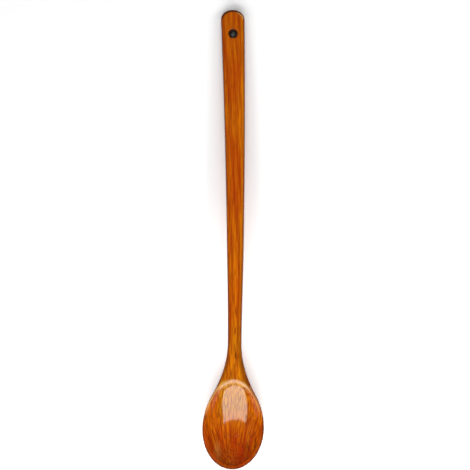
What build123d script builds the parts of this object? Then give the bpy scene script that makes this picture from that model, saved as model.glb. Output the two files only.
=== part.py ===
from build123d import *
import math
import os

# A long-handled wooden spoon, carved from a single piece of wood and lacquered.
# It lies as it does on a table: on the belly of its bowl and the underside of its tail.
# +Y runs from the tip of the bowl to the tail, +Z is up, and the origin is the middle of
# its footprint, on the table. A station is a distance along the spoon from the tip.
# Lengths are in millimetres. A share is a part of the size that its name or comment gives.

# Lengths along the spoon
overall_length = 330.0
bowl_nose_length = 29.0  # from the tip to the widest point of the bowl
flare_length = 62.0  # from the widest point of the bowl to the narrowest point of the neck
tail_nose_length = 7.0  # the rounded end of the handle

# Full widths, seen from above
bowl_width = 44.0
shoulder_width = 31.0  # where the sides of the bowl turn from bulging to hollow
neck_width = 9.9
grip_width = 12.0  # where the handle's long straight stretch starts
tail_width = 17.4

# Heights above the table
tip_rim_height = 11.4
crest_height = 14.9  # where the rim crosses the root of the neck
neck_underside_height = 8.9
grip_underside_height = 10.3  # where the straight stretch starts, just past the arch's top

# Thicknesses of the wood
rim_thickness = 2.4  # seen from above
neck_thickness = 8.4
grip_thickness = 7.5
tail_thickness = 6.5

# Hollow of the bowl
crest_from_tip = 63.8  # where the rim crosses the root of the neck
hollow_depth = 9.8  # below the plane of the rim
upright_height = 4.0  # the hollow's walls would stand upright this far above the rim
tip_overshoot = 1.2  # the egg that the hollow is cut with ends this far past it at the tip
crest_overshoot = 4.0  # the same, past the crest of the rim
rim_round = 0.8  # between the hollow and the top of the rim, at most a third of the rim

# Rounded outer edges
rim_side_drop = 1.3  # from the top of the rim down to its widest line
handle_side_drop = 3.0  # the same, on the handle
tip_edge_round = 1.5
tail_edge_round = 2.0

# Hanging hole
hole_diameter = 6.0
hole_from_tail = 17.7
hole_bevel = 0.5

# Places along the spoon
shoulder_share = 0.40  # of the flare, from the widest point
blend_share = 0.26  # of the flare: where the bowl's section starts to turn into the handle's
grip_share = 0.28  # of the handle, from the neck: the arch ends and the straight starts
shoulder_steepness_share = 2.04  # of the flare's mean slope
pointing_share = 0.25  # by how much of its width the hollow narrows towards the crest

# Reach of a section's flats before its corners turn, as shares of its half width or height
handle_top_share = 0.80
bowl_top_share = 0.94
handle_under_share = 0.76
bowl_under_share = 0.58
top_corner_share = 0.62
handle_side_share = 0.65
bowl_side_share = 0.42

# Fullness of the tip's underside, seen from the side: 2 is an ellipse, 1 a straight slope
tip_power = 1.7

# Sections from which the body is lofted, and steps along the side of the hollow's egg
tip_section_count = 10
flare_section_count = 12
arch_section_count = 12
tail_section_count = 6
egg_step_count = 12
crowding_power = 1.5  # above 1, sections crowd towards the rounded ends

neck_station = bowl_nose_length + flare_length
handle_length = overall_length - neck_station
grip_station = neck_station + grip_share * handle_length
tail_nose_station = overall_length - tail_nose_length
foot_station = overall_length - tail_edge_round
quarter_turn = math.pi / 2
bottom_aligned = (Align.CENTER, Align.CENTER, Align.MIN)


def along(station):
    """Y coordinate of a station."""
    return station - overall_length / 2


def smooth_line(knots, station):
    """Value at a station on the smooth line through knots of (station, value, slope).

    A slope of None follows from the neighbouring knots.
    """
    slopes = []
    for index, knot in enumerate(knots):
        before = knots[max(index - 1, 0)]
        after = knots[min(index + 1, len(knots) - 1)]
        chord_slope = (after[1] - before[1]) / (after[0] - before[0])
        slopes.append(chord_slope if knot[2] is None else knot[2])
    index = 0
    while station > knots[index + 1][0] and index < len(knots) - 2:
        index += 1
    start, first, _ = knots[index]
    end, last, _ = knots[index + 1]
    span = end - start
    t = (station - start) / span
    from_first = (1 - t) ** 2 * ((1 + 2 * t) * first + t * span * slopes[index])
    from_last = t**2 * ((3 - 2 * t) * last + (t - 1) * span * slopes[index + 1])
    return from_first + from_last


def ellipse_share(distance, length):
    """Share of full size at a distance from the end of an elliptical nose."""
    return math.sqrt(1 - max(1 - distance / length, 0) ** 2)


def half_width(station):
    """Half the spoon's width, seen from above."""
    if station <= bowl_nose_length:
        return bowl_width / 2 * ellipse_share(station, bowl_nose_length)
    flare_slope = (neck_width - bowl_width) / 2 / flare_length
    taper = (tail_width - grip_width) / 2 / (overall_length - grip_station)
    shoulder_station = bowl_nose_length + shoulder_share * flare_length
    knots = [
        (bowl_nose_length, bowl_width / 2, 0),
        (shoulder_station, shoulder_width / 2, shoulder_steepness_share * flare_slope),
        (neck_station, neck_width / 2, 0),
        (grip_station, grip_width / 2, taper),
        (overall_length, tail_width / 2, taper),
    ]
    to_tail = overall_length - station
    return smooth_line(knots, station) * ellipse_share(to_tail, tail_nose_length)


def top_height(station):
    """Height of the spoon's upper side along its middle, before the bowl is hollowed."""
    grip_height = grip_underside_height + grip_thickness
    slope = (tail_thickness - grip_height) / (foot_station - grip_station)
    knots = [
        (0, tip_rim_height, None),
        (crest_from_tip, crest_height, None),
        (neck_station, neck_underside_height + neck_thickness, None),
        (grip_station, grip_height, slope),
        (foot_station, tail_thickness, slope),
    ]
    return smooth_line(knots, min(station, foot_station))


def underside_height(station):
    """Height of the spoon's underside along its middle."""
    if station < bowl_nose_length:
        along_nose = 1 - station / bowl_nose_length
        rise = 1 - (1 - along_nose**tip_power) ** (1 / tip_power)
        return (tip_rim_height - rim_side_drop) * rise
    slope = -grip_underside_height / (foot_station - grip_station)
    knots = [
        (bowl_nose_length, 0, 0),
        (neck_station, neck_underside_height, None),
        (grip_station, grip_underside_height, slope),
        (foot_station, 0, slope),
    ]
    return smooth_line(knots, min(station, foot_station))


def bowl_share(station):
    """1 where the section is the bowl's, 0 where it is the handle's, smooth between."""
    start = bowl_nose_length + blend_share * flare_length
    t = min(max((neck_station - station) / (neck_station - start), 0), 1)
    return t * t * (3 - 2 * t)


def blended(handle_value, bowl_value, station):
    """A value of the section that changes from the bowl to the handle."""
    share = bowl_share(station)
    return handle_value + (bowl_value - handle_value) * share


def side_to_side(station, half, widest, rise, flat_share, corner_share):
    """Curve across the spoon from its widest line on one side to that on the other.

    It leaves each side upright and passes the middle level, at the given rise above the
    widest line, or below it if the rise is negative.
    """
    control_shares = (0, corner_share, 1, 1, 1, corner_share, 0)
    degree = len(control_shares) - 1
    weights = [math.comb(degree, index) / 2**degree for index in range(degree + 1)]
    middle_share = sum(weight * share for weight, share in zip(weights, control_shares))
    control_rise = rise / middle_share
    across_shares = (1, 1, flat_share, 0, -flat_share, -1, -1)
    points = [
        (half * across, along(station), widest + control_rise * up)
        for across, up in zip(across_shares, control_shares)
    ]
    return Bezier(*points)


def section(station):
    """Closed outline across the spoon: a curve over its top and one under it."""
    half = half_width(station)
    widest = top_height(station) - blended(handle_side_drop, rim_side_drop, station)
    tail_rounding = ellipse_share(overall_length - station, tail_edge_round)
    tip_rounding = ellipse_share(station, tip_edge_round)
    rise = (top_height(station) - widest) * tip_rounding * tail_rounding
    fall = (underside_height(station) - widest) * tail_rounding
    top_flat_share = blended(handle_top_share, bowl_top_share, station)
    under_flat_share = blended(handle_under_share, bowl_under_share, station)
    under_corner_share = blended(handle_side_share, bowl_side_share, station)
    over = side_to_side(station, half, widest, rise, top_flat_share, top_corner_share)
    under = side_to_side(station, half, widest, fall, under_flat_share, under_corner_share)
    return Wire([over, under])


def nose_stations(length, count):
    """Distances from the end of a rounded nose, close together near the end."""
    steps = [(step / count) ** crowding_power for step in range(1, count + 1)]
    return [length * (1 - math.cos(quarter_turn * step)) for step in steps]


def even_stations(start, end, count):
    """Evenly spaced stations after a start, up to an end."""
    return [start + (end - start) * step / count for step in range(1, count + 1)]


def blank():
    """The spoon before its bowl is hollowed: bowl to arch, long grip, hole stretch, tail end."""
    front = nose_stations(bowl_nose_length, tip_section_count)
    front += even_stations(bowl_nose_length, neck_station, flare_section_count)
    front += even_stations(neck_station, grip_station, arch_section_count)
    tail_distances = nose_stations(tail_nose_length, tail_section_count)
    tail = [overall_length - distance for distance in tail_distances]
    before_hole = overall_length - 2 * hole_from_tail
    grip = [grip_station, before_hole]
    hole_stretch = [before_hole, tail_nose_station]
    stretches = [front, grip, hole_stretch, tail[::-1]]
    lofts = [Solid.make_loft([section(station) for station in stretch]) for stretch in stretches]
    return Part() + lofts


def egg_half_width(station):
    """Half the width of the hollow's egg at its middle height, which is above the rim."""
    half = bowl_width / 2 - rim_thickness
    pointing = 1
    if station <= bowl_nose_length:
        out = (bowl_nose_length - station) / (bowl_nose_length - rim_thickness)
    else:
        out = (station - bowl_nose_length) / (crest_from_tip - bowl_nose_length)
        pointing = 1 - pointing_share * out**4
    rim_square = (half * pointing) ** 2 * (1 - out**2)
    return math.sqrt(max(rim_square + (upright_height / egg_flatness()) ** 2, 0))


def egg_flatness():
    """Height of the hollow's egg as a share of its width, which gives the hollow its depth."""
    full_depth = hollow_depth + upright_height
    return math.sqrt(full_depth**2 - upright_height**2) / (bowl_width / 2 - rim_thickness)


def hollow():
    """The scooped-out inside of the bowl: a flattened egg that leans with the rim."""
    start = rim_thickness - tip_overshoot
    end = crest_from_tip + crest_overshoot
    middle = (start + end) / 2
    profile = [(0, start - middle)]
    for step in range(1, egg_step_count):
        station = middle - (end - start) / 2 * math.cos(math.pi * step / egg_step_count)
        profile.append((egg_half_width(station), station - middle))
    profile.append((0, end - middle))
    side = Spline(*profile, tangents=[(1, 0), (-1, 0)])
    egg = revolve(make_face([side, Line(profile[-1], profile[0])]), Axis.Y)
    lean = math.degrees(math.atan2(crest_height - tip_rim_height, crest_from_tip))
    rim_plane = Pos(0, along(middle), top_height(middle)) * Rot(lean, 0, 0)
    return rim_plane * Pos(0, 0, upright_height) * scale(egg, (1, 1, egg_flatness()))


def rim_edges(bowl):
    """The sharp edge round the hollow: the only wide one on this side of the neck."""
    edges = []
    for edge in bowl.edges():
        box = edge.bounding_box()
        if box.max.Y < along(neck_station) and box.size.X > bowl_width / 2:
            edges.append(edge)
    return edges


def drill():
    """What the hanging hole takes away: a bore, square to the handle, with bevelled mouths."""
    radius = hole_diameter / 2
    station = overall_length - hole_from_tail
    rise = top_height(station + radius) - top_height(station - radius)
    tilt = math.atan2(rise, 2 * radius)
    thickness = top_height(station) - underside_height(station)
    middle = underside_height(station) + thickness / 2
    bevel_start = thickness * math.cos(tilt) / 2 - hole_bevel
    cone = Cone(radius, radius + 2 * hole_bevel, 2 * hole_bevel, align=bottom_aligned)
    upper = Pos(0, 0, bevel_start) * cone
    tool = Cylinder(radius, 3 * thickness) + upper + mirror(upper, Plane.XY)
    return Pos(0, along(station), middle) * Rot(math.degrees(tilt), 0, 0) * tool


def spoon():
    """The whole spoon."""
    bowl = blank() - hollow()
    bowl = fillet(rim_edges(bowl), min(rim_round, rim_thickness / 3))
    return bowl - drill()


os.makedirs("parts", exist_ok=True)
export_step(spoon(), "parts/carved_spoon.step")
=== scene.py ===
"""A long-handled wooden spoon, carved from one piece of wood and lacquered.

The spoon lies along +Y, from the tip of its bowl to the tail of its handle. A station is a
distance along it from the tip. Sizes are in metres.
"""

import math

import bmesh
import bpy
from bpy.props import FloatProperty, FloatVectorProperty, PointerProperty
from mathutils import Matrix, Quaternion, Vector


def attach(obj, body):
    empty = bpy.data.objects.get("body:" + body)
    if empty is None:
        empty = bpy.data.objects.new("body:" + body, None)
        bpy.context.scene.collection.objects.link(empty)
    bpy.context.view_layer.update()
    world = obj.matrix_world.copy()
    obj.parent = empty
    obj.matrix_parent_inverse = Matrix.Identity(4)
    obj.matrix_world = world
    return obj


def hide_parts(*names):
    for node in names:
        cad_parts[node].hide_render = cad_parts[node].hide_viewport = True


bl_info = {
    "name": "Wooden Spoon",
    "version": (1, 0, 0),
    "blender": (4, 5, 0),
    "location": "3D View > Sidebar > Spoon",
    "description": "Carves a long-handled wooden spoon and sets it on a lit table",
    "category": "Add Mesh",
}

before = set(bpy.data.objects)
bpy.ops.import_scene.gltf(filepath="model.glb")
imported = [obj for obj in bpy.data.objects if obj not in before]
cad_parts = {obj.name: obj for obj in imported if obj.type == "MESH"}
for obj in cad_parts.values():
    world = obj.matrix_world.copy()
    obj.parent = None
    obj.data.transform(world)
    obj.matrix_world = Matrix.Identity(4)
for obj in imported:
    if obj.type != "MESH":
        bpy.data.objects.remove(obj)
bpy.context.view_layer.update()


def length(name, default, description):
    """A size in metres."""
    return FloatProperty(
        name=name, description=description, default=default, min=0.0, unit="LENGTH", precision=4
    )


def share(name, default, description):
    """A part of another size, from none to all of it."""
    return FloatProperty(
        name=name, description=description, default=default, min=0.0, max=1.0, subtype="FACTOR"
    )


def along_spoon(name, default, description):
    """A place along the spoon, from its middle."""
    return FloatProperty(
        name=name, description=description, default=default, unit="LENGTH", precision=4
    )


def colour(name, default, description):
    """A colour as light, with no alpha."""
    return FloatVectorProperty(
        name=name, description=description, default=default, min=0.0, max=1.0, subtype="COLOR"
    )


class SpoonSizes(bpy.types.PropertyGroup):
    """Sizes of the spoon."""

    overall_length: length("Overall length", 0.330, "From the tip of the bowl to the tail")
    bowl_nose_length: length("Bowl nose", 0.029, "From the tip to the bowl's widest point")
    flare_length: length("Flare", 0.062, "From the bowl's widest point to the neck")
    tail_nose_length: length("Tail nose", 0.007, "The rounded end of the handle")
    bowl_width: length("Bowl width", 0.044, "Seen from above")
    shoulder_width: length("Shoulder width", 0.031, "Where the bowl's sides turn hollow")
    neck_width: length("Neck width", 0.0099, "The narrowest place of the handle")
    grip_width: length("Grip width", 0.012, "Where the handle's long straight stretch starts")
    tail_width: length("Tail width", 0.0174, "The handle's far end")
    tip_rim_height: length("Tip height", 0.0114, "Height of the rim at the tip")
    crest_height: length("Crest height", 0.0149, "Height of the rim where the neck starts")
    neck_underside: length("Neck underside", 0.0089, "Height of the neck's underside")
    grip_underside: length("Grip underside", 0.0103, "Height of the arch's underside")
    rim_thickness: length("Rim thickness", 0.0024, "Seen from above")
    neck_thickness: length("Neck thickness", 0.0084, "Wood at the neck")
    grip_thickness: length("Grip thickness", 0.0075, "Wood where the straight stretch starts")
    tail_thickness: length("Tail thickness", 0.0065, "Wood at the tail")
    crest_from_tip: length("Crest from tip", 0.0632, "Where the rim crosses the neck's root")
    hollow_depth: length("Hollow depth", 0.0098, "Below the plane of the rim")
    upright_height: length("Upright height", 0.004, "Above the rim, the walls would be upright")
    rim_soft_round: length("Rim rounding", 0.0013, "Between the rim and the hollow")
    crest_round: length("Crest rounding", 0.0016, "The same, at the root of the neck")
    rim_side_drop: length("Rim side drop", 0.0013, "From the rim down to its widest line")
    handle_side_drop: length("Handle side drop", 0.003, "The same, on the handle")
    tip_edge_round: length("Tip edge rounding", 0.0015, "Where the rim ends at the tip")
    tail_edge_round: length("Tail edge rounding", 0.002, "Where the handle ends")
    hole_diameter: length("Hole diameter", 0.006, "The hanging hole")
    hole_from_tail: length("Hole from tail", 0.0177, "From the tail to the hole's middle")
    hole_mouth_round: length("Hole mouth rounding", 0.0006, "The worn edge of the hole")
    side_bow: length("Sideways bow", 0.0016, "How far the hand-carved handle bends sideways")
    shoulder_share: share("Shoulder place", 0.40, "Along the flare, from the widest point")
    blend_share: share("Blend start", 0.26, "Along the flare, where the bowl's section ends")
    grip_share: share("Grip start", 0.28, "Along the handle, from the neck")


class SpoonFinish(bpy.types.PropertyGroup):
    """Colours of the wood under its lacquer, and of the light and shade painted into it."""

    light_wood: colour("Light wood", (0.82, 0.200, 0.001), "The wood between two dark rings")
    # Also laid as painted shade towards the tail and on the low rim of the bowl
    dark_wood_and_shade: colour("Dark wood", (0.38, 0.044, 0.001), "The late wood of each ring")
    red_wood: colour("Red wood", (0.52, 0.038, 0.001), "The redder patches")
    # Also laid as a painted light band along the right side of the handle
    gold_and_side_light: colour("Golden wood", (0.80, 0.300, 0.002), "At the neck and in the upper hollow")
    dull_gold: colour("Dull gold", (0.50, 0.30, 0.004), "The upper end of the hollow")
    # Painted highlights: along the crest of the rim, on the strip under it, in a pale patch low in
    # the bowl, and as a thin bright line at the tail
    painted_highlight: colour("Painted highlight", (0.82, 0.42, 0.110), "The pale crest of the rim")
    fleck: colour("Flecks", (0.28, 0.030, 0.001), "Fine darker flecks along the grain")
    pore: colour("Pores", (0.085, 0.013, 0.002), "The short dark pores along the grain")
    # Laid as painted shade on the outer edges, the handle's sides, the right shoulder, the hole's
    # mouth and the bowl's outline, and as the darker stain of the end grain at the tail
    stain_and_edge_shade: colour("Edge wood", (0.09, 0.015, 0.001), "The outer edges took more stain")
    heart_start: along_spoon("Heartwood", -0.148, "Up to here, the bowl is reddest")
    heart_end: along_spoon("Heartwood's end", -0.132, "From here on, the redder wood has gone")
    gold_start: along_spoon("Gold's start", -0.120, "From here on, the wood is most golden")
    gold_fades: along_spoon("Gold fades", -0.085, "From here on, it gets less golden")
    gold_end: along_spoon("Gold's end", -0.045, "From here on, it isn't golden")
    pores_fade: along_spoon("Pores fade", -0.100, "From here to the middle, the pores get fainter")
    # The tail's darker edge is darker end grain with painted shade
    tail_edge: along_spoon("Tail edge", 0.161, "From here on, the tail's rounded edge is darker")
    ring_spacing: length("Ring spacing", 0.0028, "From one yearly ring to the next")
    ring_wander: length("Ring wander", 0.0050, "How far a ring strays from a true circle")
    pith_side: length("Pith to the side", 0.045, "From the spoon to the middle of the tree")
    pith_depth: length("Pith depth", 0.035, "From the table down to the middle of the tree")


class StudioSettings(bpy.types.PropertyGroup):
    """The table, the lamps and the camera."""

    table_shade: share("Table", 0.86, "How pale the table is, from black to white")
    seen_white: share("White to the camera", 0.36, "Makes the table white without more light")
    camera_height: length("Camera height", 0.90, "Above the table")
    frame_side: length("Frame side", 0.33544, "What the picture shows, from side to side")


class SpoonShape:
    """The lines of the spoon, worked out from its sizes."""

    # Reach of a section's flats before its corners turn, as shares of its half width or height
    handle_top_share, bowl_top_share, top_corner_share = 0.80, 0.94, 0.62
    handle_under_share, bowl_under_share = 0.76, 0.58
    handle_side_share, bowl_side_share = 0.65, 0.42
    # Fullness of the tip's underside, where 2 is an ellipse and 1 a straight slope
    tip_roundness = 1.7
    # Slope of the bowl's side at the shoulder, in terms of the flare's mean slope
    shoulder_steepness = 2.04
    # Power of a section's curve, and steps in which a place on a line is closed in on
    degree, halvings = 6, 30
    # Nothing is measured nearer to an end than this, because the width is none there
    end_gap = 1e-5

    def __init__(self, sizes):
        self.s = sizes
        self.neck = sizes.bowl_nose_length + sizes.flare_length
        self.grip = self.neck + sizes.grip_share * (sizes.overall_length - self.neck)
        self.foot = sizes.overall_length - sizes.tail_edge_round
        self.hole = sizes.overall_length - sizes.hole_from_tail
        self.mid_length = sizes.overall_length / 2

    @staticmethod
    def smooth_line(knots, station):
        """Value on the smooth line through knots of (station, value, slope or None)."""
        slopes = []
        for index, knot in enumerate(knots):
            before = knots[max(index - 1, 0)]
            after = knots[min(index + 1, len(knots) - 1)]
            chord = (after[1] - before[1]) / (after[0] - before[0])
            slopes.append(chord if knot[2] is None else knot[2])
        index = 0
        while station > knots[index + 1][0] and index < len(knots) - 2:
            index += 1
        start, first, _ = knots[index]
        end, last, _ = knots[index + 1]
        span = end - start
        t = (station - start) / span
        from_first = (1 - t) ** 2 * ((1 + 2 * t) * first + t * span * slopes[index])
        from_last = t**2 * ((3 - 2 * t) * last + (t - 1) * span * slopes[index + 1])
        return from_first + from_last

    @staticmethod
    def ellipse_share(distance, nose):
        """Share of full size at a distance from the end of an elliptical nose."""
        return math.sqrt(max(1 - max(1 - distance / nose, 0) ** 2, 0))

    def half_width(self, station):
        """Half the spoon's width, seen from above."""
        s = self.s
        if station <= s.bowl_nose_length:
            return s.bowl_width / 2 * self.ellipse_share(station, s.bowl_nose_length)
        flare_slope = (s.neck_width - s.bowl_width) / 2 / s.flare_length
        taper = (s.tail_width - s.grip_width) / 2 / (s.overall_length - self.grip)
        shoulder = s.bowl_nose_length + s.shoulder_share * s.flare_length
        knots = [
            (s.bowl_nose_length, s.bowl_width / 2, 0),
            (shoulder, s.shoulder_width / 2, self.shoulder_steepness * flare_slope),
            (self.neck, s.neck_width / 2, 0),
            (self.grip, s.grip_width / 2, taper),
            (s.overall_length, s.tail_width / 2, taper),
        ]
        to_tail = s.overall_length - station
        return self.smooth_line(knots, station) * self.ellipse_share(to_tail, s.tail_nose_length)

    def top(self, station):
        """Height of the upper side along the middle, before the bowl is hollowed."""
        s = self.s
        grip_height = s.grip_underside + s.grip_thickness
        slope = (s.tail_thickness - grip_height) / (self.foot - self.grip)
        knots = [
            (0, s.tip_rim_height, None),
            (s.crest_from_tip, s.crest_height, None),
            (self.neck, s.neck_underside + s.neck_thickness, None),
            (self.grip, grip_height, slope),
            (self.foot, s.tail_thickness, slope),
        ]
        return self.smooth_line(knots, min(station, self.foot))

    def underside(self, station):
        """Height of the underside along the middle."""
        s = self.s
        if station < s.bowl_nose_length:
            along_nose = 1 - max(station, 0) / s.bowl_nose_length
            rise = 1 - (1 - along_nose**self.tip_roundness) ** (1 / self.tip_roundness)
            return (s.tip_rim_height - s.rim_side_drop) * rise
        slope = -s.grip_underside / (self.foot - self.grip)
        knots = [
            (s.bowl_nose_length, 0, 0),
            (self.neck, s.neck_underside, None),
            (self.grip, s.grip_underside, slope),
            (self.foot, 0, slope),
        ]
        return self.smooth_line(knots, min(station, self.foot))

    def blended(self, handle_value, bowl_value, station):
        """A value of the section that changes smoothly from the bowl to the handle."""
        start = self.s.bowl_nose_length + self.s.blend_share * self.s.flare_length
        t = min(max((self.neck - station) / (self.neck - start), 0), 1)
        return handle_value + (bowl_value - handle_value) * t * t * (3 - 2 * t)

    def widest(self, station):
        """Height of the spoon's widest line."""
        drop = self.blended(self.s.handle_side_drop, self.s.rim_side_drop, station)
        return self.top(station) - drop

    def height(self, across, station, over):
        """Height of the upper side or underside at a share of the half width."""
        s = self.s
        tail = self.ellipse_share(s.overall_length - station, s.tail_edge_round)
        if over:
            rounding = self.ellipse_share(max(station, 0), s.tip_edge_round)
            rise = (self.top(station) - self.widest(station)) * rounding * tail
            flat = self.blended(self.handle_top_share, self.bowl_top_share, station)
            corner = self.top_corner_share
        else:
            rise = (self.underside(station) - self.widest(station)) * tail
            flat = self.blended(self.handle_under_share, self.bowl_under_share, station)
            corner = self.blended(self.handle_side_share, self.bowl_side_share, station)
        sideways = (1, 1, flat, 0, -flat, -1, -1)
        upwards = (0, corner, 1, 1, 1, corner, 0)
        power = self.degree

        def curve(values, t):
            weights = [math.comb(power, index) * (1 - t) ** (power - index) * t**index
                       for index in range(power + 1)]
            return sum(weight * value for weight, value in zip(weights, values))

        low, high = 0.0, 0.5
        for _ in range(self.halvings):
            middle = (low + high) / 2
            low, high = (middle, high) if curve(sideways, middle) > abs(across) else (low, middle)
        return self.widest(station) + rise * curve(upwards, low) / curve(upwards, 0.5)

    def height_at(self, x, station, over):
        """The same at a distance from the middle."""
        last = self.s.overall_length - self.end_gap
        half = self.half_width(min(max(station, self.end_gap), last))
        return self.height(min(abs(x) / half, 1), station, over)

    def hollow_half(self, station):
        """Half the hollow's width at the rim."""
        s = self.s
        half = s.bowl_width / 2 - s.rim_thickness
        if station < s.bowl_nose_length:
            reach = s.bowl_nose_length - s.rim_thickness
            return half * math.sqrt(max(1 - ((s.bowl_nose_length - station) / reach) ** 2, 0))
        t = min((station - s.bowl_nose_length) / (s.crest_from_tip - s.bowl_nose_length), 1)
        return half * math.sqrt(1 - t * t)

    def hollow_height(self, x, station):
        """Height of the scooped-out inside of the bowl."""
        s = self.s
        rim_height = s.tip_rim_height
        rim_height += (s.crest_height - s.tip_rim_height) * station / s.crest_from_tip
        half = s.bowl_width / 2 - s.rim_thickness
        full_depth = s.hollow_depth + s.upright_height
        steepness = math.sqrt(full_depth**2 - s.upright_height**2) / half
        full_square = self.hollow_half(station) ** 2 + (s.upright_height / steepness) ** 2
        depth = steepness * math.sqrt(max(full_square - x * x, 0))
        return rim_height + s.upright_height - depth


def made_of(made, kind):
    """The points, edges or faces among what a bmesh operator made."""
    return [item for item in made["geom"] if isinstance(item, kind)]


class SpoonCage:
    """The net of quads that is smoothed into the spoon, and the place of each of its points.

    While the net is made, a point's coordinates are counts: columns across the spoon, rows
    along it, and levels down from the floor of the hollow, over the rim, to the belly.
    """

    columns, bowl_rows = 4, 8
    # Directions of the points round the bowl, in degrees from the neck
    angles = (0, 12, 25, 38, 52, 68, 86, 104, 121, 136, 150, 165, 180)
    # Below this direction, the outline is the line where the neck's net starts
    neck_angle = 20
    # Levels: the floor of the hollow is 0, and its wall has two more
    under_rim, rim_corner, rim_top, edge_top, edge, side = 3, 4, 5, 6, 7, 8
    side_under, side_low, under, belly, belly_floor = 9, 10, 11, 12, 13
    # Reach of the levels, from the middle of the bowl to the hollow's edge or the outline
    hollow_shares = (0.40, 0.66, 0.86)
    bowl_reach = {side_under: 0.985, side_low: 0.93, under: 0.83, belly: 0.60, belly_floor: 0.36}
    # From the hollow's edge to the outline, and from the rim's top down to the widest line
    rim_reach = {edge_top: (0.72, 0.03), edge: (0.95, 0.30), side: (1.0, 1.0)}
    # Reach of the handle's points, as shares of its half width
    top_across, under_across = (0, 0.50, 0.82), (0, 0.46, 0.74)
    side_across = {edge: 0.955, side: 1.0, side_under: 0.985, side_low: 0.90}
    end_across = 0.9
    # How many rows each stretch of the handle has, and where its rounded end has them
    neck_rows, arch_rows, straight_rows = 5, 7, 8
    end_rows = (0.0, 0.38, 0.66, 0.86)
    # From the crest to the first row, in crest roundings, and past the hole, in diameters
    root_gap, hole_gap = 2.2, 0.87
    # The rim's rounding: most of the rim that it takes, its depth, and its corner's weights
    rounding_limit, rounding_depth, search_steps = 0.55, 0.9, 20
    end_weight, sharp_weight = 0.293, 0.414
    # Each round of the hole's mouth: out from the wall and down, in mouth roundings
    mouth_steps = ((1.0, 0.0), (0.29, 0.29), (0.0, 1.0))
    settling_rounds = 6

    def __init__(self, shape):
        self.shape = shape
        s = shape.s
        self.middle = (s.rim_thickness + s.crest_from_tip) / 2
        root = s.crest_from_tip + self.root_gap * s.crest_round
        before_hole = shape.hole - s.hole_diameter * self.hole_gap
        after_hole = shape.hole + s.hole_diameter * self.hole_gap
        nose = s.overall_length - s.tail_nose_length
        self.rows = [root]
        self.rows += self.even(root, shape.neck, self.neck_rows)
        self.rows += self.even(shape.neck, shape.grip, self.arch_rows)
        self.rows += self.even(shape.grip, before_hole, self.straight_rows)
        self.hole_row = len(self.rows)
        self.rows += [shape.hole, after_hole]
        self.rows += [nose + s.tail_nose_length * part for part in self.end_rows]

    @staticmethod
    def even(start, end, count):
        """Evenly spaced stations after a start, up to an end."""
        return [start + (end - start) * step / count for step in range(1, count + 1)]

    def build(self):
        """The net, with its points still at their counts."""
        net = bmesh.new()
        bmesh.ops.create_grid(net, x_segments=self.columns, y_segments=self.bowl_rows, size=1)
        half = Vector((self.columns / 2, self.bowl_rows / 2, 1))
        bmesh.ops.translate(net, verts=net.verts, vec=(1, 1, 0))
        bmesh.ops.scale(net, verts=net.verts, vec=half)
        made = bmesh.ops.extrude_face_region(net, geom=net.faces[:], use_keep_orig=True)
        points = made_of(made, bmesh.types.BMVert)
        bmesh.ops.translate(net, verts=points, vec=(0, 0, -self.belly_floor))
        spokes = [edge for edge in net.edges if abs(edge.calc_length() - self.belly_floor) < 0.1]
        bmesh.ops.subdivide_edges(net, edges=spokes, cuts=self.belly_floor - 1)
        patch = []
        for face in net.faces:
            level = -face.calc_center_median().z
            at_neck = all(vertex.co.y > self.bowl_rows - 0.1 for vertex in face.verts)
            if at_neck and self.edge_top < level < self.under:
                patch.append(face)
        for _ in self.rows[1:]:
            made = bmesh.ops.extrude_face_region(net, geom=patch)
            bmesh.ops.delete(net, geom=patch, context="FACES")
            points = made_of(made, bmesh.types.BMVert)
            patch = made_of(made, bmesh.types.BMFace)
            bmesh.ops.translate(net, verts=points, vec=(0, 1, 0))
        return net

    def angle(self, column, row):
        """Direction of a point on the rim's loops, where 0 is the neck, and its side."""
        out = abs(column - self.columns // 2)
        if row == self.bowl_rows:
            step = out
        elif out == self.columns // 2:
            step = out + self.bowl_rows - row
        else:
            step = len(self.angles) - 1 - out
        turn = math.radians(self.angles[step])
        return turn, math.copysign(1, column - self.columns / 2)

    def hollow_edge(self, turn):
        """Plan place where the hollow meets the rim, in a direction."""
        s = self.shape.s
        station = self.middle + (s.crest_from_tip - s.rim_thickness) / 2 * math.cos(turn)
        return Vector((self.shape.hollow_half(station), station))

    def outline(self, turn):
        """Plan place on the bowl's outline, or on its round continuation across the neck."""
        centre = Vector((0, self.middle))
        towards = (self.hollow_edge(turn) - centre).normalized()
        if turn < math.radians(self.neck_angle):
            return centre + towards * (self.rows[0] - self.middle)
        low, high = 0.0, self.rows[0]
        for _ in range(self.shape.halvings):
            reach = (low + high) / 2
            plan = centre + towards * reach
            inside = plan.y > 0 and plan.x < self.shape.half_width(plan.y)
            low, high = (reach, high) if inside else (low, reach)
        return centre + towards * low

    def handle_place(self, column, row, level):
        """Place on the neck, the handle and its end."""
        shape = self.shape
        station = self.rows[row - self.bowl_rows]
        out = abs(column - self.columns // 2)
        sign = (column > self.columns / 2) - (column < self.columns / 2)
        half = shape.half_width(station)
        if level == self.edge_top:
            across, over = self.top_across[out], True
        elif level == self.under:
            across, over = self.under_across[out], False
        elif out == self.columns // 2:
            across, over = self.side_across[level], level <= self.side
        else:
            down = (level - self.edge_top) / (self.under - self.edge_top)
            across = self.top_across[out] * self.end_across
            height = shape.height(across, station, True) * (1 - down)
            height += shape.height(across, station, False) * down
            # The end bulges most at its middle
            bulge = 1 - across**2 / 2 - 2 * (down - 0.5) ** 2
            end = station + (shape.s.overall_length - station) * max(bulge, 0)
            return Vector((sign * across * half, end, height))
        return Vector((sign * across * half, station, shape.height(across, station, over)))

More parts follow.
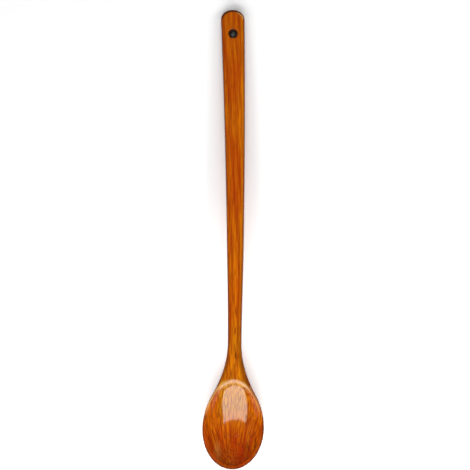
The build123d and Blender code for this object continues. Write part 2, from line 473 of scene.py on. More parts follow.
    def bowl_place(self, column, row, level):
        """Place on one of the loops round the bowl."""
        shape, s = self.shape, self.shape.s
        turn, sign = self.angle(column, row)
        if column == self.columns / 2:
            sign = 0
        sharp = self.hollow_edge(turn)
        rim = self.outline(turn)
        centre = Vector((0, self.middle))
        if level < self.under_rim:
            plan = centre + (sharp - centre) * self.hollow_shares[level]
            height = shape.hollow_height(plan.x, plan.y)
        elif level <= self.rim_top:
            toward_neck = max(math.cos(turn), 0) ** 2
            rounding = s.rim_soft_round + (s.crest_round - s.rim_soft_round) * toward_neck
            outwards = (rim - sharp).normalized()
            most = (rim - sharp).length * self.rounding_limit
            top_plan = sharp + outwards * min(rounding, most)
            top_place = top_plan.to_3d()
            top_place.z = shape.height_at(top_plan.x, top_plan.y, True)
            wall_plan = sharp
            inwards = (centre - sharp).normalized()
            sharp_height = shape.hollow_height(sharp.x, sharp.y)
            lowest = sharp_height - rounding * self.rounding_depth
            step = 0.0
            while shape.hollow_height(wall_plan.x, wall_plan.y) > lowest:
                step += rounding / self.search_steps
                wall_plan = sharp + inwards * step
            wall_place = wall_plan.to_3d()
            wall_place.z = shape.hollow_height(wall_plan.x, wall_plan.y)
            sharp_place = sharp.to_3d()
            sharp_place.z = (shape.height_at(sharp.x, sharp.y, True) + sharp_height) / 2
            rounded = (top_place + wall_place) * self.end_weight + sharp_place * self.sharp_weight
            points = {self.under_rim: wall_place, self.rim_corner: rounded, self.rim_top: top_place}
            point = points[level]
            plan, height = Vector((point.x, point.y)), point.z
        elif level <= self.side:
            out_share, down_share = self.rim_reach[level]
            plan = sharp + (rim - sharp) * out_share
            top, widest = shape.height_at(sharp.x, sharp.y, True), shape.widest(plan.y)
            height = top + (widest - top) * down_share
        else:
            plan = centre + (rim - centre) * self.bowl_reach[level]
            height = shape.height_at(plan.x, plan.y, False)
        return Vector((sign * plan.x, plan.y, height))

    def patch_place(self, column, row, level):
        """Place inside the floor of the hollow or of the belly, from the places round it."""
        across, along = column / self.columns, row / self.bowl_rows
        left = self.bowl_place(0, row, level)
        right = self.bowl_place(self.columns, row, level)
        low = self.bowl_place(column, 0, level)
        high = self.bowl_place(column, self.bowl_rows, level)
        corner = {
            (x, y): self.bowl_place(x * self.columns, y * self.bowl_rows, level)
            for x in (0, 1) for y in (0, 1)
        }
        point = left * (1 - across) + right * across + low * (1 - along) + high * along
        point -= (corner[0, 0] * (1 - across) + corner[1, 0] * across) * (1 - along)
        point -= (corner[0, 1] * (1 - across) + corner[1, 1] * across) * along
        if level == 0:
            point.z = self.shape.hollow_height(point.x, point.y)
        else:
            point.z = self.shape.height_at(point.x, point.y, False)
        return point

    def settled_place(self, counts):
        """Where the point with these counts belongs."""
        column, row, level = round(counts.x), round(counts.y), round(-counts.z)
        on_handle = row > self.bowl_rows
        at_root = row == self.bowl_rows and self.edge_top <= level <= self.under
        if on_handle or at_root:
            return self.handle_place(column, row, level)
        if 0 < column < self.columns and 0 < row < self.bowl_rows:
            return self.patch_place(column, row, level)
        return self.bowl_place(column, row, level)

    def open_hole(self, net, wanted):
        """Opens the hanging hole through the net, with rounded mouths."""
        shape, s = self.shape, self.shape.s
        radius = s.hole_diameter / 2
        row = self.bowl_rows + self.hole_row
        rings = []
        for level, over in ((self.edge_top, True), (self.under, False)):
            centre = Vector((self.columns // 2, row, -level))
            middle = min(net.verts, key=lambda vertex: (vertex.co - centre).length)
            ring = [edge for face in middle.link_faces for edge in face.edges
                    if middle not in edge.verts]
            bmesh.ops.delete(net, geom=[middle], context="VERTS")
            for extra, depth in self.mouth_steps:
                made = bmesh.ops.extrude_edge_only(net, edges=ring)
                ring = made_of(made, bmesh.types.BMEdge)
                points = made_of(made, bmesh.types.BMVert)
                reach = radius + extra * s.hole_mouth_round
                sink = depth * s.hole_mouth_round
                for vertex in points:
                    off = vertex.co - centre
                    turn = math.atan2(round(off.x), round(off.y))
                    x, station = reach * math.sin(turn), shape.hole + reach * math.cos(turn)
                    surface = shape.height_at(x, station, over)
                    height = surface - sink if over else surface + sink
                    wanted[vertex] = Vector((x, station, height))
            rings += ring
        bmesh.ops.bridge_loops(net, edges=rings)

    def settled(self):
        """The finished net: once smoothed, its surface passes through the wanted places."""
        net = self.build()
        wanted = {vertex: self.settled_place(vertex.co) for vertex in net.verts}
        self.open_hole(net, wanted)
        wanted = {vertex: point for vertex, point in wanted.items() if vertex.is_valid}
        net.verts.index_update()
        bmesh.ops.recalc_face_normals(net, faces=net.faces)
        for vertex, point in wanted.items():
            vertex.co = point
        for _ in range(self.settling_rounds):
            moves = {}
            for vertex, point in wanted.items():
                count = len(vertex.link_edges)
                near = sum((edge.other_vert(vertex).co for edge in vertex.link_edges), Vector())
                far = Vector()
                for loop in vertex.link_loops:
                    far += loop.link_loop_next.link_loop_next.vert.co
                smooth = (vertex.co * count**2 + near * 4 + far) / (count * (count + 5))
                moves[vertex] = point - smooth
            for vertex, move in moves.items():
                vertex.co += move
        return net


def put(tree, kind, inputs, **settings):
    """Adds a node to a tree, with its settings, and sets or links its inputs."""
    node = tree.nodes.new(kind)
    for name, value in settings.items():
        setattr(node, name, value)
    for name, value in inputs.items():
        if isinstance(value, bpy.types.NodeSocket):
            tree.links.new(value, node.inputs[name])
        else:
            node.inputs[name].default_value = value
    return node


def maths(tree, operation, first, second=0.0, clamp=False):
    """The result of an operation on two values."""
    node = put(tree, "ShaderNodeMath", {0: first, 1: second}, operation=operation, use_clamp=clamp)
    return node.outputs[0]


def plus(tree, first, second, clamp=False):
    """The sum of two values."""
    return maths(tree, "ADD", first, second, clamp)


def minus(tree, first, second):
    """The difference of two values."""
    return maths(tree, "SUBTRACT", first, second)


def times(tree, first, *others):
    """The product of some values."""
    for value in others:
        first = maths(tree, "MULTIPLY", first, value)
    return first


def spread(tree, value, low, high, to_low=0.0, to_high=1.0):
    """A value moved smoothly from one range to another."""
    inputs = {"Value": value, "From Min": low, "From Max": high}
    inputs.update({"To Min": to_low, "To Max": to_high})
    node = put(tree, "ShaderNodeMapRange", inputs, interpolation_type="SMOOTHSTEP")
    return node.outputs["Result"]


def fading(tree, value, low, high):
    """All up to one value, and none from the other on."""
    return spread(tree, value, low, high, 1.0, 0.0)


def mixed(tree, factor, first, second):
    """Two colours mixed."""
    node = put(tree, "ShaderNodeMix", {"Factor": factor}, data_type="RGBA")
    # Sockets 6 and 7 are the two colours, and the result's colour is the third output
    for index, value in ((6, first), (7, second)):
        if isinstance(value, bpy.types.NodeSocket):
            tree.links.new(value, node.inputs[index])
        else:
            node.inputs[index].default_value = (*value, 1.0)
    return node.outputs[2]


def distance(tree, x, y):
    """Distance of a point in plan from the origin, from its two coordinates."""
    flat = put(tree, "ShaderNodeCombineXYZ", {"X": x, "Y": y, "Z": 0.0})
    reach = put(tree, "ShaderNodeVectorMath", {0: flat.outputs[0]}, operation="LENGTH")
    return reach.outputs["Value"]


def noise(tree, vector, detail, roughness=0.5):
    """Soft noise, one bump to each unit of the vector."""
    inputs = {"Vector": vector, "Scale": 1.0, "Detail": detail, "Roughness": roughness}
    return put(tree, "ShaderNodeTexNoise", inputs).outputs["Fac"]


def group(name, inputs, outputs):
    """A node group with these sockets: its tree, its given values and its result node."""
    tree = bpy.data.node_groups.new(name, "ShaderNodeTree")
    for socket in ("Vector", *inputs):
        kind = "NodeSocketVector" if socket == "Vector" else "NodeSocketFloat"
        tree.interface.new_socket(socket, in_out="INPUT", socket_type=kind)
    for socket in outputs:
        tree.interface.new_socket(socket, in_out="OUTPUT", socket_type="NodeSocketFloat")
    return tree, tree.nodes.new("NodeGroupInput").outputs, tree.nodes.new("NodeGroupOutput")


def streaks_group():
    """Streaks that follow the grain: thin across it and long along it."""
    upright_share, roughness = 0.35, 0.55
    tree, given, result = group(
        "Grain streaks", ("Across", "Stretch", "Detail", "Shift"), ("Value",)
    )
    across = given["Across"]
    scale = put(
        tree, "ShaderNodeCombineXYZ",
        {"X": across, "Y": times(tree, across, given["Stretch"]),
         "Z": times(tree, across, upright_share)},
    )
    drawn = {0: given["Vector"], 1: scale.outputs[0], 2: given["Shift"]}
    drawn = put(tree, "ShaderNodeVectorMath", drawn, operation="MULTIPLY_ADD").outputs[0]
    value = noise(tree, drawn, given["Detail"], roughness)
    tree.links.new(value, result.inputs["Value"])
    return tree


def rings_group():
    """Yearly rings round a pith that runs along the spoon, below it and to one side."""
    # Bumps to a metre in the rings' line, and the shares of a ring where its late wood lies
    bends, bend_detail = (70.0, 12.0, 70.0), 2.0
    late_start, late_full = 0.20, 0.90
    tree, given, result = group(
        "Yearly rings", ("Spacing", "Pith Side", "Pith Depth", "Wander"), ("Phase", "Late Wood")
    )
    sides = put(tree, "ShaderNodeSeparateXYZ", {"Vector": given["Vector"]}).outputs
    bent = {0: given["Vector"], 1: bends}
    bent = put(tree, "ShaderNodeVectorMath", bent, operation="MULTIPLY").outputs[0]
    wander = minus(tree, noise(tree, bent, bend_detail), 0.5)
    aside = minus(tree, sides["X"], given["Pith Side"])
    up = plus(tree, sides["Z"], given["Pith Depth"])
    radius = plus(tree, distance(tree, aside, up), times(tree, wander, given["Wander"]))
    phase = maths(tree, "FRACT", maths(tree, "DIVIDE", radius, given["Spacing"]))
    late = spread(tree, phase, late_start, late_full)
    late = times(tree, late, fading(tree, phase, late_full, 1.0))
    tree.links.new(phase, result.inputs["Phase"])
    tree.links.new(late, result.inputs["Late Wood"])
    return tree


def empty_material(name):
    """A new material and its node tree, with no nodes yet."""
    material = bpy.data.materials.new(name)
    material.use_nodes = True
    material.node_tree.nodes.clear()
    return material, material.node_tree


class SpoonWood:
    """The colour of the spoon's wood, with painted highlights and painted shade: tones that are
    laid over each other as shader nodes.

    A name that ends in "in" or "out" has two values, between which a tone comes in or goes out.
    They are places along the spoon from its middle, where no comment says otherwise, and with
    "aside" distances from its middle line.
    """

    # Streaks: how many to a metre across the grain, how many along it for each of those, their
    # detail, a shift that makes them differ, and the range of noise from no streak to a full one
    broad_streaks = (240.0, 0.035, 1.0, 3.0), (0.38, 0.62)
    fine_streaks = (1050.0, 0.040, 2.0, 11.0), (0.36, 0.64)
    red_streaks = (160.0, 0.15, 2.0, 17.0), (0.30, 0.60)
    red_patches = (70.0, 0.30, 1.0, 7.0), (0.46, 0.66)
    pore_marks = (1300.0, 0.10, 0.0, 5.0), (0.58, 0.70)
    fleck_marks = (1100.0, 0.08, 2.0, 23.0), (0.50, 0.62)
    blotch_marks = (620.0, 0.34, 2.0, 31.0), (0.50, 0.64)
    # At the bowl's tip the grain crowds together, this many times as closely
    crowding_out, crowding = (-0.170, -0.126), 1.8
    # Dark wood is the sum of the late wood, the broad streaks and the fine streaks
    late_weight, broad_weight, fine_weight = 0.42, 0.17, 0.43
    # The pores are in the early wood of a ring, and fewer of them and of the flecks on the handle
    early_out, late_pores, handle_pores = (0.10, 0.60), 0.30, 0.35

    # How far a surface faces up where it counts as the upper side
    top_facing = (-0.20, 0.20)

    # Golden wood, and the duller gold in the hollow
    gold_aside_out, gold_strength = (0.006, 0.014), 0.8
    dull_aside_out, dull_strength = (0.007, 0.013), 0.40
    dull_in, dull_out = (-0.139, -0.120), (-0.103, -0.099)
    patch_strength, heart_strength = 0.38, 0.9
    # Painted shade towards the tail: where it comes in along the spoon, and how strong
    tail_shade_in, tail_shade_strength = (0.105, 0.150), 0.20
    neck_in, neck_out, neck_strength = (-0.104, -0.094), (-0.088, -0.074), 0.36
    fleck_strength, pore_strength = 0.62, 0.75

    # The crest of the rim lies on an oval: middle, half width, half length
    crest_oval = (0.0, -0.136), 0.0196, 0.0342
    crest_in, crest_right, right_change = (-0.128, -0.117), 0.6, 0.005
    crest_aside, crest_least, crest_most = (0.004, 0.010), 0.30, 0.80
    # In shares of that oval: the crest's band and the strip just inside it, both painted highlight
    band_inner, band_outer = (0.985, 1.01), (1.05, 1.09)
    strip_inner, strip_outer = (0.905, 0.950), (0.985, 1.0)
    strip_in, strip_aside_out, strip_strength = (-0.112, -0.108), (0.004, 0.009), 0.55

    # Low in the bowl: nested blotches, a patch of painted reflection, and painted shade on the rim
    # round an oval
    nest_bend, nest_slope = 0.005, 0.70
    blotch_out, blotch_strength = (-0.146, -0.134), 0.50
    dull_patch = (-0.0112, -0.1525), 0.0034, 0.0080
    # The next one and the two parts of the bowl's oval are shares of their ovals
    dull_patch_out, dull_patch_most, dull_patch_least = (0.35, 1.15), 0.16, 0.06
    bowl_oval = (-0.0004, -0.136), 0.022, 0.029
    low_bowl_out = (-0.136, -0.128)
    outline_part, outline_strength = (0.93, 0.975), 0.7
    low_rim_part, low_rim_strength = (0.84, 0.90), 0.45

    # How far a surface faces outwards where painted shade darkens an edge, and the lengths over
    # which facing endways comes to count at the tail and at the tip
    edge_facing, edge_strength, edge_depth = (0.30, 0.80), 0.8, 0.92
    tail_edge_length, tip_edge_length = 0.004, 0.006
    # The half width of the neck and the handle, seen from above
    flare_ends, flare_halves = (-0.1299, -0.0855), (0.0220, 0.0050)
    taper_slope, taper_middle = 0.0157, 0.00613
    # Measured inwards from the side of the neck and the handle: painted shade as a dark line along
    # both sides and the right shoulder, and a painted light band at the right
    side_change, above_bowl_in = 0.001, (-0.122, -0.112)
    side_line_out, side_line_left, side_line_right = (0.0003, 0.0016), 0.55, 0.40
    shoulder_aside_out, shoulder_out, shoulder_strength = (0.0008, 0.0032), (-0.085, -0.060), 0.60
    pale_aside_in, pale_aside_out = (0.0008, 0.0014), (0.0020, 0.0032)
    pale_in, pale_strength = (-0.080, -0.055), 0.27
    # Painted shade in the mouth of the hanging hole
    hole_mouth_out = (0.0032, 0.0038)
    # The dark arc inside the tail's edge, darker end grain with painted shade, and a painted
    # highlight as a thin bright line inside it at the right
    tail_oval = (0.0, 0.158), 0.0096, 0.0066
    arc_part, arc_in = (0.72, 0.80), (0.156, 0.160)
    glint_inner, glint_outer = (0.66, 0.71), (0.74, 0.79)
    glint_in, glint_aside_in, glint_strength = (0.1570, 0.1590), (0.0015, 0.0045), 0.95

    def __init__(self, tree, finish, shape):
        self.tree, self.finish, self.shape = tree, finish, shape
        surface = tree.nodes.new("ShaderNodeTexCoord").outputs
        sides = put(tree, "ShaderNodeSeparateXYZ", {"Vector": surface["Object"]}).outputs
        self.x, self.along = sides["X"], sides["Y"]
        self.aside = maths(tree, "ABSOLUTE", self.x)
        self.facing = put(tree, "ShaderNodeSeparateXYZ", {"Vector": surface["Normal"]}).outputs
        self.on_top = spread(tree, self.facing["Z"], *self.top_facing)
        crowded = spread(tree, self.along, *self.crowding_out, self.crowding, 1.0)
        drawn = {"X": times(tree, self.x, crowded), "Y": self.along, "Z": sides["Z"]}
        self.drawn = put(tree, "ShaderNodeCombineXYZ", drawn).outputs[0]
        self.streak_nodes = streaks_group()
        rings = {
            "Vector": self.drawn, "Spacing": finish.ring_spacing, "Wander": finish.ring_wander,
            "Pith Side": finish.pith_side, "Pith Depth": finish.pith_depth,
        }
        self.ring = put(tree, "ShaderNodeGroup", rings, node_tree=rings_group()).outputs
        self.broad = self.marks(self.broad_streaks)
        self.fine = self.marks(self.fine_streaks)
        self.colour = None

    def marks(self, streaks, vector=None):
        """Streaks along the grain, or along another vector, from none to full."""
        (across, stretch, detail, shift), part = streaks
        inputs = {"Vector": vector or self.drawn, "Across": across, "Stretch": stretch,
                  "Detail": detail, "Shift": shift}
        node = put(self.tree, "ShaderNodeGroup", inputs, node_tree=self.streak_nodes)
        return spread(self.tree, node.outputs["Value"], *part)

    def coming(self, part, value=None):
        """From none to all in a range, along the spoon unless another value is given."""
        return spread(self.tree, value or self.along, *part)

    def going(self, part, value=None):
        """The same, from all to none."""
        return fading(self.tree, value or self.along, *part)

    def between(self, inner, outer, value=None):
        """From none to all in one range, and back to none in the next."""
        return times(self.tree, self.coming(inner, value), self.going(outer, value))

    def all_of(self, *masks):
        """Where all masks hold. A number among them is a strength."""
        return times(self.tree, *masks)

    def any_of(self, first, second):
        """Where one mask or the other holds."""
        return maths(self.tree, "MAXIMUM", first, second)

    def oval_share(self, centre, half_width, half_length):
        """Distance from a place, as a share of an oval's size."""
        x = minus(self.tree, self.x, centre[0])
        y = minus(self.tree, self.along, centre[1])
        return distance(
            self.tree, times(self.tree, x, 1 / half_width), times(self.tree, y, 1 / half_length)
        )

    def lay(self, colour, *masks):
        """Lays a colour over the wood where all masks hold, as strongly as they say."""
        self.colour = mixed(self.tree, self.all_of(*masks), self.colour, colour)

    def lay_grain(self):
        """Rings and streaks, golden at the neck, with redder patches."""
        tree, finish = self.tree, self.finish
        dark = plus(
            tree, times(tree, self.ring["Late Wood"], self.late_weight),
            times(tree, self.broad, self.broad_weight),
        )
        dark = plus(tree, dark, times(tree, self.fine, self.fine_weight), clamp=True)
        gold = self.all_of(
            self.between(
                (finish.heart_end, finish.gold_start), (finish.gold_fades, finish.gold_end)
            ),
            self.going(self.gold_aside_out, self.aside),
        )
        self.colour = finish.light_wood
        self.lay(finish.gold_and_side_light, gold, self.gold_strength)
        self.lay(finish.dark_wood_and_shade, dark)
        patches = self.all_of(self.marks(self.red_patches), minus(tree, 1.0, gold))
        self.lay(finish.red_wood, patches, self.patch_strength)

    def lay_zones(self):
        """Red wood low in the bowl, duller wood and a painted highlight high in it, lighter wood at
        the neck, and painted shade towards the tail.
        """
        finish = self.finish
        heart = self.all_of(
            self.going((finish.heart_start, finish.heart_end)), self.marks(self.red_streaks)
        )
        self.lay(finish.red_wood, heart, self.heart_strength)
        dull = self.all_of(
            self.going(self.dull_aside_out, self.aside),
            self.between(self.dull_in, self.dull_out), self.on_top,
        )
        self.lay(finish.dull_gold, dull, self.dull_strength)
        from_crest = self.oval_share(*self.crest_oval)
        # Painted highlight on the strip just under the crest
        strip = self.all_of(
            self.between(self.strip_inner, self.strip_outer, from_crest),
            self.going(self.strip_aside_out, self.aside), self.coming(self.strip_in),
        )
        self.lay(finish.painted_highlight, strip, self.strip_strength)
        # Painted shade, darker towards the tail
        self.lay(finish.dark_wood_and_shade, self.coming(self.tail_shade_in), self.tail_shade_strength)
        neck = self.between(self.neck_in, self.neck_out)
        self.lay(finish.light_wood, neck, self.neck_strength)

    def lay_pores(self):
        """Flecks and pores along the grain, fewer on the handle. Gives the pores' mask."""
        fewer = spread(self.tree, self.along, self.finish.pores_fade, 0.0, 1.0, self.handle_pores)
        early = spread(self.tree, self.ring["Phase"], *self.early_out, 1.0, self.late_pores)
        pores = self.all_of(self.marks(self.pore_marks), early, fewer)
        flecks = self.all_of(self.marks(self.fleck_marks), fewer)
        self.lay(self.finish.fleck, flecks, self.fleck_strength)
        self.lay(self.finish.pore, pores, self.pore_strength)
        return pores

    def outward_edges(self):
        """Painted shade on the outer edges, found by how far the surface faces outwards; at the
        ends it also stands for the darker end grain.
        """
        tree, edge = self.tree, self.finish.tail_edge
        sideways = times(tree, self.facing["X"], maths(tree, "SIGN", self.x))
        at_tail = spread(tree, self.along, edge - self.tail_edge_length, edge)
        at_tip = spread(tree, self.along, -edge, self.tip_edge_length - edge, -1.0, 0.0)
        endways = self.any_of(
            times(tree, self.facing["Y"], at_tail), times(tree, self.facing["Y"], at_tip)
        )
        outward = self.any_of(sideways, endways)
        return times(tree, self.coming(self.edge_facing, outward), self.edge_strength)

    def side_edges(self, edges):
        """Adds painted shade at the handle's sides and right shoulder; lays a painted light band.
        """
        tree, shape = self.tree, self.shape
        nose = shape.s.bowl_nose_length
        from_start = minus(tree, self.along, nose - shape.mid_length)
        part = maths(tree, "DIVIDE", from_start, shape.hole - nose)
        bow = times(tree, part, minus(tree, 1.0, part), 4 * shape.s.side_bow)
        off_middle = minus(tree, self.x, bow)
        flare = spread(tree, self.along, *self.flare_ends, *self.flare_halves)
        taper = plus(tree, times(tree, self.along, self.taper_slope), self.taper_middle)
        to_side = minus(tree, self.any_of(flare, taper), maths(tree, "ABSOLUTE", off_middle))
        on_right = spread(tree, off_middle, -self.side_change, self.side_change)
        above_bowl = self.coming(self.above_bowl_in)
        strength = spread(tree, on_right, 0.0, 1.0, self.side_line_left, self.side_line_right)
        # Painted shade: dark lines along both sides, darker at the left, and at the right shoulder
        line = self.all_of(self.going(self.side_line_out, to_side), above_bowl, strength)
        shoulder = self.all_of(
            self.going(self.shoulder_aside_out, to_side), above_bowl,
            self.going(self.shoulder_out), on_right, self.shoulder_strength,
        )
        # Painted light: a paler band along the right of the handle's top
        pale = self.all_of(
            self.between(self.pale_aside_in, self.pale_aside_out, to_side),
            on_right, self.on_top, self.coming(self.pale_in),
        )
        self.lay(self.finish.gold_and_side_light, pale, self.pale_strength)
        return self.any_of(self.any_of(edges, line), shoulder)

    def hole_and_tail(self, edges, from_tail):
        """Adds painted shade in the hole's mouth, and the dark arc inside the tail's edge."""
        shape = self.shape
        from_hole = minus(self.tree, self.along, shape.hole - shape.mid_length)
        from_hole = distance(self.tree, self.x, from_hole)
        edges = self.any_of(edges, self.going(self.hole_mouth_out, from_hole))
        # Darker end grain with painted shade, along the tail's edge
        arc = self.all_of(self.coming(self.arc_part, from_tail), self.coming(self.arc_in))
        return self.any_of(edges, arc)

    def low_bowl(self, edges):
        """Lays painted shade on the low rim, the nested blotches and a painted reflection patch,
        and adds painted shade along the outline.
        """
        tree, finish = self.tree, self.finish
        from_bowl, low = self.oval_share(*self.bowl_oval), self.going(self.low_bowl_out)
        # Painted shade along the outline of the lower bowl
        outline = self.all_of(self.coming(self.outline_part, from_bowl), low)
        edges = self.any_of(edges, times(tree, outline, self.outline_strength))
        # Painted shade on the rim low in the bowl
        low_rim = self.all_of(self.coming(self.low_rim_part, from_bowl), low)
        self.lay(finish.dark_wood_and_shade, low_rim, self.low_rim_strength)
        bent = plus(tree, times(tree, self.x, self.x), self.nest_bend**2)
        slope = times(tree, self.along, self.nest_slope)
        nested = {
            "X": minus(tree, maths(tree, "SQRT", bent), slope),
            "Y": plus(tree, self.along, self.x), "Z": 0.0,
        }
        nested = put(tree, "ShaderNodeCombineXYZ", nested).outputs[0]
        blotches = self.all_of(
            self.marks(self.blotch_marks, nested), self.going(self.blotch_out), self.on_top
        )
        self.lay(finish.fleck, blotches, self.blotch_strength)
        # Painted reflection: a pale patch low in the bowl at the left
        levels = self.dull_patch_most, self.dull_patch_least
        patch = self.all_of(
            self.going(self.dull_patch_out, self.oval_share(*self.dull_patch)), self.on_top,
            spread(tree, self.broad, 0.0, 1.0, *levels),
        )
        self.lay(finish.painted_highlight, patch)
        return edges

    def lay_crest_highlight(self):
        """A painted highlight along the crest of the rim, paler at its sides and at the left."""
        from_crest = self.oval_share(*self.crest_oval)
        # Painted highlight along the crest
        crest = self.all_of(
            self.between(self.band_inner, self.band_outer, from_crest),
            self.coming(self.crest_in),
            spread(self.tree, self.aside, *self.crest_aside, self.crest_least, self.crest_most),
            spread(
                self.tree, self.x, -self.right_change, self.right_change, 1.0, self.crest_right
            ),
            self.on_top,
        )
        self.lay(self.finish.painted_highlight, crest)

    def lay_glint(self, from_tail):
        """A painted highlight: the thin bright line inside the tail's edge at the right."""
        glint = self.all_of(
            self.between(self.glint_inner, self.glint_outer, from_tail),
            self.coming(self.glint_aside_in, self.x), self.coming(self.glint_in),
        )
        self.lay(self.finish.painted_highlight, glint, self.glint_strength)

    def lay_all(self):
        """Lays every tone in its order, and gives the pores' mask."""
        self.lay_grain()
        self.lay_zones()
        pores = self.lay_pores()
        edges = self.side_edges(self.outward_edges())
        from_tail = self.oval_share(*self.tail_oval)
        edges = self.low_bowl(self.hole_and_tail(edges, from_tail))
        self.lay_crest_highlight()
        # Painted shade on the edges, the hole's mouth and the bowl's outline, with darker end grain
        # at the tail
        self.lay(self.finish.stain_and_edge_shade, edges, self.edge_depth)
        self.lay_glint(from_tail)
        return pores


def lacquered_wood(finish, shape):
    """Ring-porous wood, stained orange-brown, under a clear gloss lacquer."""
    wood_roughness, pore_roughness, streak_relief = 0.45, 0.2, 0.25
    material, tree = empty_material("Lacquered wood")
    wood = SpoonWood(tree, finish, shape)
    pores = wood.lay_all()
    rough = plus(tree, times(tree, pores, pore_roughness), wood_roughness)
    relief = minus(tree, times(tree, wood.fine, streak_relief), pores)
    bump = put(
        tree, "ShaderNodeBump", {"Height": relief, "Strength": 0.35, "Distance": 0.00006}
    )
    shader = put(
        tree, "ShaderNodeBsdfPrincipled",
        {"Base Color": wood.colour, "Roughness": rough, "Normal": bump.outputs[0],
         "Specular IOR Level": 0.0, "Coat Weight": 1.0, "Coat Roughness": 0.08,
         "Coat IOR": 1.7},
    )
    put(tree, "ShaderNodeOutputMaterial", {"Surface": shader.outputs[0]})
    return material


def table_material(studio, hole_place):
    """A matt table, whose colour is whiter to the camera, so that its shadows stay soft. Under the
    hanging hole it has painted light and painted shade.
    """
    # White that the camera sees beside the bowl, and where it turns into that at the tail
    white_at_bowl, bowl_to_tail = 0.85, (-0.10, 0.06)
    # Seen through the hanging hole, the table has a painted light spot in a ring of painted shade.
    # The middle is set towards the tail, because the camera looks through the hole at a slant.
    slant, spot_out, tail_out = 0.0005, (0.0004, 0.0022), (0.0040, 0.0060)
    ring_shade, red_spot, grey_spot = 0.35, 1.8, 3.3
    # From here to there the table turns into a plain white background
    background_in = (0.26, 0.50)
    material, tree = empty_material("White table")
    to_camera = tree.nodes.new("ShaderNodeLightPath").outputs["Is Camera Ray"]
    surface = tree.nodes.new("ShaderNodeTexCoord").outputs["Object"]
    where = put(tree, "ShaderNodeSeparateXYZ", {"Vector": surface}).outputs
    white = spread(tree, where["Y"], *bowl_to_tail, white_at_bowl, studio.seen_white)
    level = plus(tree, times(tree, to_camera, white), studio.table_shade)
    past_hole = minus(tree, where["Y"], hole_place + slant)
    past_hole = distance(tree, where["X"], past_hole)
    spot = fading(tree, past_hole, *spot_out)
    under_tail = times(tree, fading(tree, past_hole, *tail_out), to_camera)

    def toned(brightest):
        """The level, with the painted light spot and the painted shade ring under the hole."""
        tone = spread(tree, spot, 0.0, 1.0, ring_shade, brightest)
        change = times(tree, under_tail, minus(tree, tone, 1.0))
        return times(tree, level, plus(tree, change, 1.0))

    red, grey = toned(red_spot), toned(grey_spot)
    tone = put(tree, "ShaderNodeCombineColor", {"Red": red, "Green": grey, "Blue": grey})
    matt = put(tree, "ShaderNodeBsdfDiffuse", {"Color": tone.outputs[0]})
    reach = distance(tree, where["X"], where["Y"])
    far = times(tree, spread(tree, reach, *background_in), to_camera)
    plain = put(tree, "ShaderNodeEmission", {"Color": (1, 1, 1, 1), "Strength": 1.0})
    mix = put(
        tree, "ShaderNodeMixShader", {"Fac": far, 1: matt.outputs[0], 2: plain.outputs[0]}
    )
    put(tree, "ShaderNodeOutputMaterial", {"Surface": mix.outputs[0]})
    return material


def piece_from(net, name, material):
    """A smooth-shaded object made from a bmesh, at the origin."""
    for face in net.faces:
        face.smooth = True
    mesh = bpy.data.meshes.new(name)
    net.to_mesh(mesh)
    net.free()
    piece = bpy.data.objects.new(name, mesh)
    bpy.context.scene.collection.objects.link(piece)
    mesh.materials.append(material)
    return piece


class SPOON_OT_carve(bpy.types.Operator):
    """Carves the whole spoon: bowl, neck, handle and hanging hole"""

    bl_idname = "spoon.carve"
    bl_label = "Carve Spoon"
    bl_options = {"REGISTER", "UNDO"}

    # Keep the smoothed surface inside the box of the solid
    fit_scale, lift = (0.998, 0.9996, 0.9994), 0.000004
    smoothing_levels = 3

    def execute(self, context):
        sizes = context.scene.spoon_sizes
        shape = SpoonShape(sizes)
        net = SpoonCage(shape).settled()
        bowl = sizes.bowl_nose_length
        for vertex in net.verts:
            part = (vertex.co.y - bowl) / (shape.hole - bowl)
            vertex.co.x += sizes.side_bow * 4 * part * (1 - part)
        bmesh.ops.translate(net, verts=net.verts, vec=(0, -shape.mid_length, 0))
        bmesh.ops.scale(net, verts=net.verts, vec=self.fit_scale)
        bmesh.ops.translate(net, verts=net.verts, vec=(0, 0, self.lift))
        spoon = piece_from(net, "spoon", lacquered_wood(context.scene.spoon_finish, shape))
        smooth = spoon.modifiers.new("Smooth", "SUBSURF")
        smooth.levels = smooth.render_levels = self.smoothing_levels
        cage_mesh, graph = spoon.data, context.evaluated_depsgraph_get()
        spoon.data = bpy.data.meshes.new_from_object(spoon.evaluated_get(graph))
        spoon.modifiers.remove(smooth)
        bpy.data.meshes.remove(cage_mesh)
        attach(spoon, "root")
        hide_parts("carved_spoon")
        return {"FINISHED"}


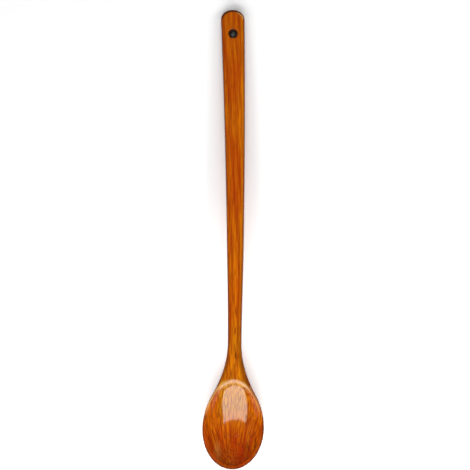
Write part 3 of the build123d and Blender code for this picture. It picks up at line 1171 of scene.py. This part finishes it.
class SPOON_OT_stage(bpy.types.Operator):
    """Sets up the white table, the soft lamps and the camera straight above"""

    bl_idname = "spoon.stage"
    bl_label = "Set Up Studio"
    bl_options = {"REGISTER", "UNDO"}

    lamps = (
        # name, place, aimed at, sides, radiance, turn in degrees, seen in gloss
        ("Softbox", (-0.05, -0.83, 0.55), (0.0, -0.12, 0.0), (1.25, 1.02), 3.2, 6, True),
        ("Back lamp", (0.0, 0.75, 0.50), (0.0, -0.10, 0.0), (0.5, 0.5), 2.2, 0, False),
        ("Right lamp", (0.70, 0.10, 0.50), (0.0, 0.06, 0.0), (0.4, 0.4), 4.4, 0, False),
        ("Left lamp", (-0.65, -0.25, 0.55), (0.0, -0.12, 0.0), (0.5, 0.5), 2.4, 0, False),
    )
    # Half the table's side, and the light of the room that the camera doesn't see
    table_half, room_light = 3.0, 0.03
    # The camera's place over the table, the width of its sensor in millimetres, how near and
    # far it sees, and the height above the table at which the picture has its stated size
    camera_place, sensor_width, clip = (0.00135, 0.0028), 36.0, (0.01, 20.0)
    framed_height = 0.012

    def execute(self, context):
        scene, studio = context.scene, context.scene.studio_settings
        shape = SpoonShape(scene.spoon_sizes)
        net = bmesh.new()
        bmesh.ops.create_grid(net, x_segments=2, y_segments=2, size=self.table_half)
        cover = table_material(studio, shape.hole - shape.mid_length)
        piece_from(net, "Table", cover)
        for lamp in self.lamps:
            self.hang(scene, *lamp)
        self.light_room(scene)
        camera = bpy.data.cameras.new("Camera")
        camera.sensor_width = self.sensor_width
        distance_to_spoon = studio.camera_height - self.framed_height
        camera.lens = self.sensor_width * distance_to_spoon / studio.frame_side
        camera.clip_start, camera.clip_end = self.clip
        stand = bpy.data.objects.new("Camera", camera)
        stand.location = (*self.camera_place, studio.camera_height)
        scene.collection.objects.link(stand)
        scene.camera = stand
        scene.view_settings.view_transform = "Standard"
        return {"FINISHED"}

    @staticmethod
    def hang(scene, name, where, target, sides, radiance, turn, in_gloss):
        """Adds one soft lamp, which the camera doesn't see."""
        lamp = bpy.data.lights.new(name, "AREA")
        lamp.shape = "RECTANGLE"
        lamp.size, lamp.size_y = sides
        lamp.energy = radiance * math.pi * sides[0] * sides[1]
        stand = bpy.data.objects.new(name, lamp)
        stand.location = where
        aim = (Vector(target) - Vector(where)).to_track_quat("-Z", "Y")
        twist = Quaternion((0.0, 0.0, 1.0), math.radians(turn))
        stand.rotation_euler = (aim @ twist).to_euler()
        stand.visible_camera = False
        stand.visible_glossy = in_gloss
        scene.collection.objects.link(stand)

    def light_room(self, scene):
        """Makes a room that is dark but for the white background that the camera sees."""
        # Nothing on the spoon is metal or glass, and in the photo the lacquer mirrors a dark
        # room, so the white background is for camera rays only and not for glossy rays.
        world = bpy.data.worlds.new("Studio room")
        world.use_nodes = True
        tree = world.node_tree
        tree.nodes.clear()
        to_camera = tree.nodes.new("ShaderNodeLightPath").outputs["Is Camera Ray"]
        level = spread(tree, to_camera, 0.0, 1.0, self.room_light, 1.0)
        glow = put(tree, "ShaderNodeBackground", {"Color": (1, 1, 1, 1), "Strength": level})
        put(tree, "ShaderNodeOutputWorld", {"Surface": glow.outputs[0]})
        scene.world = world


class SPOON_PT_workshop(bpy.types.Panel):
    """Lists the steps that make the spoon and its studio"""

    bl_idname = "SPOON_PT_workshop"
    bl_label = "Wooden Spoon"
    bl_space_type = "VIEW_3D"
    bl_region_type = "UI"
    bl_category = "Spoon"

    def draw(self, context):
        layout = self.layout
        layout.operator(SPOON_OT_carve.bl_idname)
        layout.operator(SPOON_OT_stage.bl_idname)
        for settings in ("spoon_sizes", "spoon_finish", "studio_settings"):
            box = layout.box()
            group_of = getattr(context.scene, settings)
            for name in group_of.__annotations__:
                box.prop(group_of, name)


classes = (
    SpoonSizes, SpoonFinish, StudioSettings, SPOON_OT_carve, SPOON_OT_stage, SPOON_PT_workshop,
)


def register():
    """Makes the classes and their settings known to Blender."""
    for item in classes:
        bpy.utils.register_class(item)
    bpy.types.Scene.spoon_sizes = PointerProperty(type=SpoonSizes)
    bpy.types.Scene.spoon_finish = PointerProperty(type=SpoonFinish)
    bpy.types.Scene.studio_settings = PointerProperty(type=StudioSettings)


def unregister():
    """Takes the settings and the classes back out."""
    del bpy.types.Scene.studio_settings
    del bpy.types.Scene.spoon_finish
    del bpy.types.Scene.spoon_sizes
    for item in reversed(classes):
        bpy.utils.unregister_class(item)


def main():
    """Makes the spoon and its studio."""
    register()
    bpy.ops.spoon.carve()
    bpy.ops.spoon.stage()
    bpy.context.view_layer.update()


if __name__ == "__main__":
    main()
